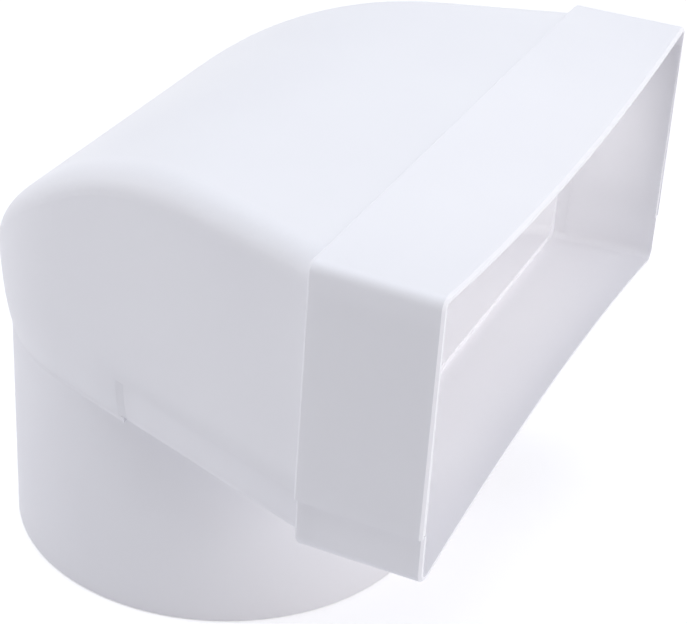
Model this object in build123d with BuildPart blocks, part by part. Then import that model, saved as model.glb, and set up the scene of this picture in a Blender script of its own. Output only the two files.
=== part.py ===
"""Duct elbow: a flat duct's socket turned through a hood into a round spigot, in two shells."""

import os
from math import radians, tan

from build123d import *

os.makedirs("parts", exist_ok=True)

# Flat duct and round pipe that the elbow joins
duct_width = 220.0
duct_height = 90.0
duct_clearance = 0.2
pipe_bore = 150.0
pipe_clearance = 0.2

# Mouldings
wall = 2.0
draft = 1.5
bond_gap = 0.1

# Flat socket, its mouth facing -Y, its long walls bowed in at the mouth
socket_depth = 38.0
mouth_reach = 119.0
mouth_bow = 7.0
top_corner = 3.6
bottom_corner = 5.0
rim_bevel = 0.8

# Seam between the two shells
seam_rise = 18.5
strip_end = -3.0
strip_inset = 0.5
strip_round = 3.5
lip = 1.4
lip_rise = 5.0
lip_lap = 8.0
cove = 4.0
tongue_rise = 86.0
tongue_setback = 0.3
tongue_length = 33.5

# Hood: a waist just above the floor, a roof that turns down to the back
waist_rise = 21.6
waist_overhang = 3.0
roof_step = 0.4
heel_start = -36.0
heel_radius = 115.0
heel_angle = 33.4
back_radius = 132.0
back_angle = 38.0
shoulder = 9.2
inner_bevel = 4.6

# Round spigot, standing on its rim
spigot_length = 77.0
spigot_bevel = 0.4

# Levels, planes and radii that follow
slope = tan(radians(draft))
spigot_radius = pipe_bore / 2 - pipe_clearance
spigot_bore = spigot_radius - wall
under = spigot_length
floor_under = under + wall
floor_top = floor_under + wall
seam = under + seam_rise
waist = under + waist_rise
ceiling = floor_under + duct_height + 2 * duct_clearance
top = ceiling + wall
roof = top - roof_step
mouth = -mouth_reach
stop = mouth + socket_depth
collar_back = stop + wall
socket_half = duct_width / 2 + duct_clearance
collar_half = socket_half + wall
flare = socket_depth * slope
hood_half = socket_half + (ceiling - waist) * slope
waist_radius = spigot_radius + waist_overhang
far = duct_width + mouth_reach


def block(y_from, y_to, z_from, z_to):
    """Slab across the whole width, for keeping or cutting a stretch of a form."""
    with BuildPart() as slab:
        with BuildSketch(Plane.YZ):
            with Locations(((y_from + y_to) / 2, (z_from + z_to) / 2)):
                Rectangle(y_to - y_from, z_to - z_from)
        extrude(amount=far, both=True)
    return slab.part


def hood_form(inset):
    """Hood from the stop to the back, set in from its outer face: a drawn-in hull under a roof."""
    shrink = (top - waist) * slope
    levels = (
        (floor_under, -waist_overhang),
        (waist, 0.0),
        ((waist + top) / 2, -shrink / 2),
        (top, -shrink),
    )
    with BuildPart() as form:
        for level, spread in levels:
            with BuildSketch(Plane.XY.offset(level)):
                half = hood_half + spread - inset
                with BuildLine():
                    Line((-half, stop), (half, stop))
                    CenterArc((0, 0), waist_radius + spread - inset, 0, 360)
                make_hull()
        loft()
        with BuildSketch(Plane.YZ):
            with BuildLine():
                ridge = Line((stop - wall, roof - inset), (heel_start, roof - inset))
                heel = JernArc(ridge @ 1, ridge % 1, heel_radius - inset, -heel_angle)
                back = JernArc(heel @ 1, heel % 1, back_radius - inset, -back_angle)
                Polyline(back @ 1, ((back @ 1).X, floor_under), (stop - wall, floor_under), ridge @ 0)
            make_face()
        extrude(amount=far, both=True, mode=Mode.INTERSECT)
        crease = form.edges(Select.NEW).filter_by(Axis.X, reverse=True)
        crease = crease.filter_by_position(Axis.Y, stop + wall / 2, far)
        crease = crease.filter_by_position(Axis.Z, (back @ 1).Y, far)
        if inset:
            chamfer(crease, length=inner_bevel)
        else:
            fillet(crease, radius=shoulder)
    return form.part


def stations(back, bevel):
    """Sections of the flat socket: place, cut-back of the bevel, share of the mouth's shape."""
    ends = ((mouth, 0.0), (back, 0.0))
    if bevel:
        ends = ((mouth, bevel), (mouth + bevel, 0.0), (back - bevel, 0.0), (back, bevel))
    return [(y, cut, (back - y) / (back - mouth)) for y, cut in ends]


def cap_form(inset, back, bevel=0.0):
    """Flat socket's cap above the seam, set in from its outer face, its sides leaning out downwards."""
    with BuildPart() as form:
        for y, cut, share in stations(back, bevel):
            crown = top - inset - cut
            half = collar_half + flare * share - inset + inset * slope - cut
            foot = half + (crown - seam) * slope
            with BuildSketch(Plane.XZ.offset(-y)) as section:
                with BuildLine():
                    Polyline((-half, crown), (-foot, seam), (foot, seam), (half, crown))
                    if share:
                        ThreePointArc((half, crown), (0, crown - mouth_bow * share), (-half, crown))
                    else:
                        Line((half, crown), (-half, crown))
                make_face()
                fillet(section.vertices().group_by(Axis.Y)[-1], radius=top_corner - inset - cut)
        loft(ruled=True)
    return form.part


def tray_form(inset, back, bevel=0.0):
    """Flat socket's tray below the seam, set in from its outer face."""
    with BuildPart() as form:
        for y, cut, share in stations(back, bevel):
            base = under + inset + cut
            half = collar_half + flare * share - inset - cut
            with BuildSketch(Plane.XZ.offset(-y)) as section:
                with BuildLine():
                    Polyline((-half, base), (-half, seam), (half, seam), (half, base))
                    if share:
                        ThreePointArc((half, base), (0, base + mouth_bow * share), (-half, base))
                    else:
                        Line((half, base), (-half, base))
                make_face()
                fillet(section.vertices().group_by(Axis.Y)[0], radius=bottom_corner - inset - cut)
        loft(ruled=True)
    return form.part


def passage_form():
    """Straight way that the duct takes past the tongues, as wide as the socket."""
    with BuildPart() as form:
        for y, spread in ((mouth, flare), (stop, 0.0)):
            with BuildSketch(Plane.XZ.offset(-y)):
                with Locations((0, (seam + top) / 2)):
                    Rectangle(2 * (socket_half + spread), top - seam)
        loft(ruled=True)
    return form.part


hood_outer = hood_form(0)
hood_inner = hood_form(wall)
strip_outer = hood_form(strip_inset)
lip_outer = hood_form(wall + bond_gap)
strip_inner = hood_form(wall + bond_gap + lip)
cap_outer = cap_form(0, collar_back, rim_bevel)
cap_inner = cap_form(wall, stop)
tongue_outer = cap_form(wall + bond_gap, stop)
tray_outer = tray_form(0, collar_back, rim_bevel)
tray_inner = tray_form(wall, stop)
passage = passage_form()
below_seam = block(mouth - wall, strip_end, 0, seam)
below_floor = block(strip_end - wall, far, 0, floor_top)
above_floor = block(mouth - wall, far, floor_top, top)
strip_stretch = block(stop, strip_end - bond_gap, 0, seam)
lip_stretch = block(stop, strip_end + lip_lap, floor_under, seam + lip_rise)
cove_stretch = block(stop, strip_end, floor_top, floor_top + cove)
tongue_stretch = block(mouth + tongue_setback, mouth + tongue_length, seam, under + tongue_rise)

# Hood and cap, open below and at the mouth
with BuildPart() as upper_shell:
    add(hood_outer)
    add(below_seam, mode=Mode.SUBTRACT)
    add(below_floor, mode=Mode.SUBTRACT)
    add(cap_outer)
    add(cap_inner, mode=Mode.SUBTRACT)
    add(hood_inner, mode=Mode.SUBTRACT)

# Low strips along the hood's sides, rounded under
with BuildPart() as strips:
    add(strip_outer)
    add(strip_stretch, mode=Mode.INTERSECT)
    keel = strips.edges().filter_by_position(Axis.Z, floor_under - wall / 2, floor_under + wall / 2)
    fillet(keel.filter_by(Axis.X, reverse=True), radius=strip_round)

# Lips that lap inside the hood above the strips
with BuildPart() as lips:
    add(lip_outer)
    add(lip_stretch, mode=Mode.INTERSECT)

# Tongues that lap inside the cap's sides
with BuildPart() as tongues:
    add(tongue_outer)
    add(tongue_stretch, mode=Mode.INTERSECT)
    add(passage, mode=Mode.SUBTRACT)

# Floor round the hole, out to the hood's foot
with BuildPart() as floor:
    add(hood_outer)
    add(below_floor, mode=Mode.INTERSECT)

# Room over the floor, between the strips
with BuildPart() as room:
    add(strip_inner)
    add(above_floor, mode=Mode.INTERSECT)

# Coves between the floor and the strips
with BuildPart() as coves:
    add(strip_inner)
    add(cove_stretch, mode=Mode.INTERSECT)
    with BuildPart(mode=Mode.SUBTRACT) as hollow:
        add(strip_inner)
        add(cove_stretch, mode=Mode.INTERSECT)
        foot = hollow.edges().filter_by_position(Axis.Z, floor_top - wall / 2, floor_top + wall / 2)
        fillet(foot.filter_by(Axis.X, reverse=True), radius=cove)
    with BuildSketch(Plane.XY):
        Circle(spigot_bore)
    extrude(amount=top, mode=Mode.SUBTRACT)

with BuildPart() as lower_shell:
    add(strips.part)
    add(lips.part)
    add(floor.part)
    add(room.part, mode=Mode.SUBTRACT)
    add(tray_outer)
    add(tray_inner, mode=Mode.SUBTRACT)
    add(room.part, mode=Mode.SUBTRACT)
    add(coves.part)
    add(tongues.part)
    with BuildSketch(Plane.XY):
        Circle(spigot_radius)
    extrude(amount=floor_under)
    with BuildSketch(Plane.XY):
        Circle(spigot_bore)
    extrude(amount=floor_top, mode=Mode.SUBTRACT)
    rim = lower_shell.edges().filter_by_position(Axis.Z, -wall / 2, wall / 2)
    chamfer(rim, length=spigot_bevel)

upper_shell.part.label = "upper_shell"
export_step(upper_shell.part, "parts/upper_shell.step")

lower_shell.part.label = "lower_shell"
export_step(lower_shell.part, "parts/lower_shell.step")
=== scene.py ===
from math import radians

import bpy
import numpy as np
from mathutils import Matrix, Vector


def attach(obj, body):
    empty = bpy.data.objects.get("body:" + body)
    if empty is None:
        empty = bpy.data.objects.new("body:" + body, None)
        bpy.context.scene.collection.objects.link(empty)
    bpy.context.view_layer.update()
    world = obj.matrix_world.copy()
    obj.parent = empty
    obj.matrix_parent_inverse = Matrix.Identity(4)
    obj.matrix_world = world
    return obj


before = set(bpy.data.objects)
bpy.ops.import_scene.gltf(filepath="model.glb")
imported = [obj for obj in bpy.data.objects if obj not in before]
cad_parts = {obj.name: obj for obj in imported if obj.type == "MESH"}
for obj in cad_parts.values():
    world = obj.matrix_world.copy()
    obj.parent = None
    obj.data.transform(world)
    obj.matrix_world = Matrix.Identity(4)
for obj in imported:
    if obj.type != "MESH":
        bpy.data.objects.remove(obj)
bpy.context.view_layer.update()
print("frame loaded:", sorted(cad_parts))


# Sockets as numbers: an expression on them adds its maths nodes
class Wire:
    def __init__(self, tree, socket=None):
        self.tree, self.socket = tree, socket

    def node(self, kind, settings=None, inputs=None, out=0):  # any node: settings first, then sockets
        made = self.tree.nodes.new(kind)
        for name, value in (settings or {}).items():
            setattr(made, name, value)
        for name, value in (inputs or {}).items():
            if isinstance(value, Wire):
                self.tree.links.new(value.socket, made.inputs[name])
            else:
                made.inputs[name].default_value = value
        return Wire(self.tree, made.outputs[out]) if made.outputs else None

    def sum(self, operation, first, second):
        return self.node("ShaderNodeMath", {"operation": operation}, {0: first, 1: second})

    def __add__(self, other):
        return self.sum("ADD", self, other)

    def __radd__(self, other):
        return self.sum("ADD", other, self)

    def __sub__(self, other):
        return self.sum("SUBTRACT", self, other)

    def __rsub__(self, other):
        return self.sum("SUBTRACT", other, self)

    def __mul__(self, other):
        return self.sum("MULTIPLY", self, other)

    def __rmul__(self, other):
        return self.sum("MULTIPLY", other, self)

    def between(self, low, high):  # 0 below low, 1 above high, straight between
        return self.node("ShaderNodeMapRange", {"clamp": True},
                         {"Value": self, "From Min": low, "From Max": high})

    def blendColour(self, first, second):  # self is the share of the second colour
        return self.node("ShaderNodeMix", {"data_type": "RGBA"}, {0: self, 6: first, 7: second}, out=2)


def newMaterial(name):
    material = bpy.data.materials.new(name)
    material.use_nodes = True
    material.node_tree.nodes.clear()
    return material, Wire(material.node_tree)


def newObject(name, data):
    thing = bpy.data.objects.new(name, data)
    bpy.context.scene.collection.objects.link(thing)
    return thing


# Satin white moulding: cloudy white, fine spark grain, a few rubbed places, a little light let through
upperWhite = {"tint": (0.925, 0.922, 0.95, 1), "deep": (0.905, 0.901, 0.932, 1), "rough": 0.42, "seed": 0.0}
lowerWhite = {"tint": (0.92, 0.917, 0.945, 1), "deep": (0.9, 0.896, 0.927, 1), "rough": 0.44, "seed": 7.3}
moulding = {
    "cloud": {"size": 14.0, "detail": 2.0, "edges": (0.35, 0.7), "rougher": 0.05},
    "rub": {"size": 60.0, "detail": 6.0, "edges": (0.56, 0.74), "smoother": 0.07},
    "grain": {"size": 1500.0, "detail": 3.0, "rougher": 0.04, "strength": 0.05, "depth": 0.0002},
    "wave": {"size": 22.0, "detail": 1.0, "strength": 0.12, "depth": 0.002},
    "glow": {"share": 0.15, "depth": 0.004, "spread": (1.0, 1.0, 1.0)},
    "bend": 1.49,  # index of refraction
}


def mouldedPlastic(name, look):
    material, wire = newMaterial(name)
    place = wire.node("ShaderNodeTexCoord", out="Object")
    moved = wire.node("ShaderNodeVectorMath", {"operation": "ADD"}, {0: place, 1: (look["seed"],) * 3})

    def noise(kind):
        return wire.node("ShaderNodeTexNoise", None,
                         {"Vector": moved, "Scale": kind["size"], "Detail": kind["detail"]})

    def raised(kind, height, under):  # bump of one noise, laid over another where there is one
        return wire.node("ShaderNodeBump", None,
                         {"Strength": kind["strength"], "Distance": kind["depth"], "Height": height, **under})

    clouds, rubs, grains = moulding["cloud"], moulding["rub"], moulding["grain"]
    waves, glows = moulding["wave"], moulding["glow"]
    cloud = noise(clouds).between(*clouds["edges"])
    rub = noise(rubs).between(*rubs["edges"])
    grain, wave = noise(grains), noise(waves)
    colour = cloud.blendColour(look["tint"], look["deep"])
    rough = (look["rough"] + clouds["rougher"] * cloud - rubs["smoother"] * rub
             + grains["rougher"] * grain)
    bump = raised(grains, grain, {"Normal": raised(waves, wave, {})})
    shader = wire.node("ShaderNodeBsdfPrincipled", None,
                       {"Base Color": colour, "Roughness": rough, "Normal": bump, "IOR": moulding["bend"],
                        "Subsurface Weight": glows["share"], "Subsurface Radius": glows["spread"],
                        "Subsurface Scale": glows["depth"]})
    wire.node("ShaderNodeOutputMaterial", None, {"Surface": shader})
    return material


finishes = {"upper_shell": mouldedPlastic("upperWhite", upperWhite),
            "lower_shell": mouldedPlastic("lowerWhite", lowerWhite)}
for nodeName, finish in finishes.items():
    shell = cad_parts[nodeName]
    shell.data.materials.clear()
    shell.data.materials.append(finish)
print("shells finished")


# Fillings grown from the shells' end faces: bond ramped over the strips' ends, low ribs from tongue to stop
bondBeads = {"node": "upper_shell", "slot": "upper_white", "face": -0.003, "proud": 0.0, "foot": 0.081,
             "outward": 0.00064, "along": -0.0034}
stopRibs = {"node": "lower_shell", "slot": "lower_white", "face": -0.0855, "proud": 0.0002, "foot": 0.0805,
            "outward": 0.0, "along": 0.0047}
sameFace, sameFoot = 1e-5, 1e-4  # how near a point lies to the end face, or to its lowest point


# Prism on each side: the end face's outline, in order of its angle about the middle, and the same outline
# moved along and outward, joined by one quad for each step and closed by the two outlines
def filling(name, look):
    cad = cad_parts[look["node"]].data
    spots = np.empty(3 * len(cad.vertices), dtype=np.float32)
    cad.vertices.foreach_get("co", spots)
    spots = spots.reshape(-1, 3).astype(float)
    endFace = np.unique(spots[np.abs(spots[:, 1] - look["face"]) < sameFace].round(7), axis=0)
    points, faces = [], []
    for side in (-1.0, 1.0):
        ring = endFace[endFace[:, 0] * side > 0]
        lowEnd = ring[:, 2] < ring[:, 2].min() + sameFoot
        ring[:, 0] -= side * look["proud"]
        ring[lowEnd, 2] = look["foot"]
        reach = ring - ring.mean(axis=0)
        turn = np.arctan2(reach[:, 2], reach[:, 0])
        ring = ring[np.argsort(-np.sign(look["along"]) * turn)]  # runs so that the faces point outwards
        count, first = len(ring), sum(map(len, points))
        near = first + np.arange(count)
        after = np.roll(near, -1)
        points += [ring, ring + (side * look["outward"], look["along"], 0.0)]
        faces += np.stack([near, after, after + count, near + count], axis=1).tolist()
        faces += [near[::-1].tolist(), (near + count).tolist()]
    mesh = bpy.data.meshes.new(name)
    mesh.from_pydata(np.concatenate(points).tolist(), [], faces)
    mesh.materials.append(finishes[look["node"]])
    piece = newObject(name, mesh)
    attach(piece, "root")


filling("bondBeads", bondBeads)
filling("stopRibs", stopRibs)
print("fillings set")


# Pale floor that takes the shadow near the part and goes white to the eye away from it
floorLook = {"half": 4.0, "drop": 0.0002, "paint": (0.8, 0.8, 0.82, 1), "glow": 0.45, "white": 1.0,
             "fade": (0.3, 0.9)}


def seenDirectly(wire):  # 1 for the eye, mirror and glass rays
    rays = [wire.node("ShaderNodeLightPath", out=kind)
            for kind in ("Is Camera Ray", "Is Glossy Ray", "Is Transmission Ray")]
    return (rays[0] + rays[1] + rays[2]).between(0.0, 1.0)


def paleFloor():  # flat square: the four corners of a unit square, scaled and dropped
    corners = floorLook["half"] * np.array([(-1, -1), (1, -1), (1, 1), (-1, 1)])
    spots = np.column_stack([corners, np.full(len(corners), -floorLook["drop"])])
    mesh = bpy.data.meshes.new("floor")
    mesh.from_pydata(spots.tolist(), [], [(0, 1, 2, 3)])
    floor = newObject("floor", mesh)
    material, wire = newMaterial("floorWhite")
    matt = wire.node("ShaderNodeBsdfDiffuse", None, {"Color": floorLook["paint"]})
    glow = wire.node("ShaderNodeEmission", None, {"Strength": floorLook["glow"]})
    lifted = wire.node("ShaderNodeAddShader", None, {0: matt, 1: glow})
    white = wire.node("ShaderNodeEmission", None, {"Strength": floorLook["white"]})
    place = wire.node("ShaderNodeTexCoord", out="Object")
    away = wire.node("ShaderNodeVectorMath", {"operation": "LENGTH"}, {0: place}, out="Value")
    faded = away.between(*floorLook["fade"])
    looks = wire.node("ShaderNodeMixShader", None, {0: faded, 1: lifted, 2: white})
    shown = wire.node("ShaderNodeMixShader", None, {0: seenDirectly(wire), 1: matt, 2: looks})
    wire.node("ShaderNodeOutputMaterial", None, {"Surface": shown})
    mesh.materials.append(material)


paleFloor()
print("floor laid")


# Plain studio: an even sky, broad soft lamps above, behind and before the mouth, a small one just inside it
skyLook = {"level": 0.34, "colour": (0.985, 0.967, 1.0, 1), "seenLevel": 1.0, "seenColour": (1, 1, 1, 1)}
lamps = {
    "lampAbove": {"place": (0.05, 0.1, 1.5), "aim": (0.0, -0.02, 0.1), "size": (1.6, 1.6),
                  "watts": 13.5, "colour": (0.85, 0.912, 1.0)},
    "lampBack": {"place": (-0.5, 1.3, 0.5), "aim": (0.0, 0.0, 0.08), "size": (1.0, 0.9),
                 "watts": 4.0, "colour": (1.0, 0.98, 1.0)},
    "lampMouth": {"place": (0.0, -1.5, 0.42), "aim": (0.0, 0.0, 0.1), "size": (1.5, 1.0),
                  "watts": 11.5, "colour": (1.0, 0.98, 0.99)},
    "lampInside": {"place": (0.0, -0.117, 0.13), "aim": (0.0, 0.03, 0.13), "size": (0.18, 0.03),
                   "watts": 0.033, "colour": (1.0, 0.98, 0.96)},
}


def studio():
    world = bpy.data.worlds.new("studio")
    world.use_nodes = True
    world.node_tree.nodes.clear()
    bpy.context.scene.world = world
    wire = Wire(world.node_tree)
    sky = wire.node("ShaderNodeBackground", None,
                    {"Color": skyLook["colour"], "Strength": skyLook["level"]})
    seen = wire.node("ShaderNodeBackground", None,
                     {"Color": skyLook["seenColour"], "Strength": skyLook["seenLevel"]})
    both = wire.node("ShaderNodeMixShader", None, {0: seenDirectly(wire), 1: sky, 2: seen})
    wire.node("ShaderNodeOutputWorld", None, {"Surface": both})
    for name, look in lamps.items():
        light = bpy.data.lights.new(name, "AREA")
        light.shape, light.energy, light.color = "RECTANGLE", look["watts"], look["colour"]
        light.size, light.size_y = look["size"]
        lamp = newObject(name, light)
        lamp.visible_camera = False
        lamp.location = look["place"]
        toward = Vector(look["aim"]) - Vector(look["place"])
        lamp.rotation_euler = toward.to_track_quat("-Z", "Y").to_euler()
    bpy.context.scene.view_settings.view_transform = "Standard"


studio()
print("studio lit")


# Camera where the photograph was taken from: place in metres, turn in degrees, lens and sensor in millimetres
eye = {"place": (-0.5253, -0.26383, 0.41666), "turn": (60.0734, -3.0741, -65.4359),
       "lens": 101.739, "sensor": 36.0}


def photoCamera():
    data = bpy.data.cameras.new("eye")
    data.lens, data.sensor_width = eye["lens"], eye["sensor"]
    camera = newObject("eye", data)
    camera.location = eye["place"]
    camera.rotation_euler = [radians(turn) for turn in eye["turn"]]
    bpy.context.scene.camera = camera


photoCamera()
print("camera set")
